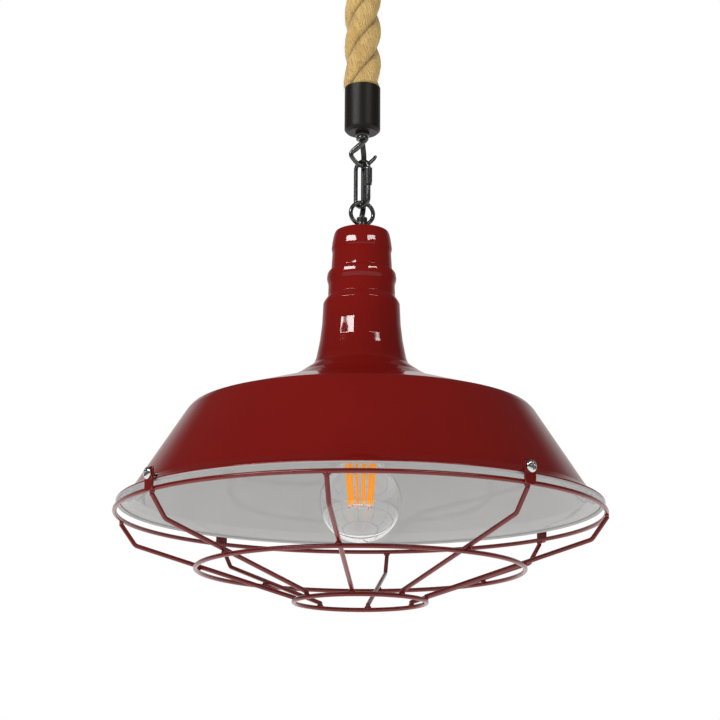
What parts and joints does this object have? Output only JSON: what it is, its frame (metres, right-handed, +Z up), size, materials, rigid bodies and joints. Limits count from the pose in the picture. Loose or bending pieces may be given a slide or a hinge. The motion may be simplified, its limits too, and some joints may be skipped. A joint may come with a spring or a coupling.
{
  "type": "pendant ceiling light",
  "caption": "Barn pendant light on a thick twisted rope: hook, quick link and lifting loop carry a flared enamel shade with a stepped neck, a filament bulb and a welded wire guard",
  "frame": {"origin": "centre of the ceiling strap's top face, where it meets the ceiling; everything hangs below", "axes": "+Z up to the ceiling, the light's front towards -Y, +X to its right as seen from the front"},
  "size_m": [0.363, 0.363, 0.5783],
  "materials": {
    "zinc_steel": "zinc plated",
    "black_steel": "satin black lacquer",
    "bright_steel": "bright",
    "white_plastic": "matt",
    "hemp": "twisted hemp",
    "black_cable": "smooth black sheath",
    "red_enamel": "glossy dark red enamel, white inside the shade",
    "black_plastic": "moulded",
    "porcelain": "white glaze",
    "brass": "plain",
    "clear_glass": "clear",
    "phosphor": "orange phosphor coating"
  },
  "bodies": {
    "ceiling_and_rope": {"ceiling_strap": "zinc_steel", "canopy": "black_steel", "canopy_screw_left": "bright_steel", "canopy_screw_right": "bright_steel", "terminal_block": "white_plastic", "canopy_nipple": "zinc_steel", "canopy_nipple_nut": "zinc_steel", "canopy_cord": "black_cable", "upper_ferrule": "black_steel", "rope": "hemp", "lower_ferrule": "black_steel", "hook_collar": "black_steel", "hook": "black_steel", "power_cord_upper": "black_cable"},
    "link": {"quick_link": "black_steel", "power_cord_lower": "black_cable"},
    "link_sleeve": {"quick_link_sleeve": "black_steel"},
    "bulb": {"bulb_glass": "clear_glass", "bulb_cap": "bright_steel", "bulb_insulator": "black_plastic", "bulb_contact_tip": "bright_steel", "bulb_stem": "clear_glass", "bulb_filaments": "phosphor"},
    "clamp_screw_1": {"guard_screw_1": "bright_steel"},
    "clamp_screw_2": {"guard_screw_2": "bright_steel"},
    "clamp_screw_3": {"guard_screw_3": "bright_steel"},
    "clamp_screw_4": {"guard_screw_4": "bright_steel"},
    "lamp": {"neck_washer": "zinc_steel", "neck_nut": "zinc_steel", "stem_tube": "zinc_steel", "lifting_loop": "black_steel", "power_cord_in_tube": "black_cable", "lead_left": "black_cable", "lead_right": "black_cable", "shade": "red_enamel", "guard_top_ring": "red_enamel", "guard_middle_ring": "red_enamel", "guard_bottom_ring": "red_enamel", "guard_rib_1": "red_enamel", "guard_rib_2": "red_enamel", "guard_rib_3": "red_enamel", "guard_rib_4": "red_enamel", "guard_rib_5": "red_enamel", "guard_rib_6": "red_enamel", "guard_rib_7": "red_enamel", "guard_rib_8": "red_enamel", "guard_lug_1": "red_enamel", "guard_lug_2": "red_enamel", "guard_lug_3": "red_enamel", "guard_lug_4": "red_enamel", "lampholder_cap": "black_plastic", "lampholder_body": "black_plastic", "lampholder_insert": "porcelain", "lampholder_screw_shell": "brass", "lampholder_contact": "brass", "terminal_screw_left": "brass", "terminal_screw_right": "brass"}
  },
  "joints": [
    {"name": "link_swing", "type": "hinge", "parent": "ceiling_and_rope", "child": "link", "pos_m": [0, 0, -0.2402], "axis": [0.9397, 0.342, 0], "range_deg": [-20, 20], "deforming": ["power_cord_upper"]},
    {"name": "lamp_swing", "type": "hinge", "parent": "link", "child": "lamp", "pos_m": [0, 0, -0.2735], "axis": [0.788, -0.6157, 0], "range_deg": [-20, 20], "deforming": ["power_cord_lower"]},
    {"name": "sleeve_slide", "type": "slide", "parent": "link", "child": "link_sleeve", "axis": [0, 0, -1], "range_m": [0, 0.0095]},
    {"name": "bulb_out", "type": "slide", "parent": "lamp", "child": "bulb", "axis": [0, 0, -1], "range_m": [0, 0.16]},
    {"name": "clamp_screw_1_out", "type": "slide", "parent": "lamp", "child": "clamp_screw_1", "axis": [0.6157, -0.788, 0], "range_m": [0, 0.01]},
    {"name": "clamp_screw_2_out", "type": "slide", "parent": "lamp", "child": "clamp_screw_2", "axis": [0.788, 0.6157, 0], "range_m": [0, 0.01]},
    {"name": "clamp_screw_3_out", "type": "slide", "parent": "lamp", "child": "clamp_screw_3", "axis": [-0.6157, 0.788, 0], "range_m": [0, 0.01]},
    {"name": "clamp_screw_4_out", "type": "slide", "parent": "lamp", "child": "clamp_screw_4", "axis": [-0.788, -0.6157, 0], "range_m": [0, 0.01]}
  ]
}
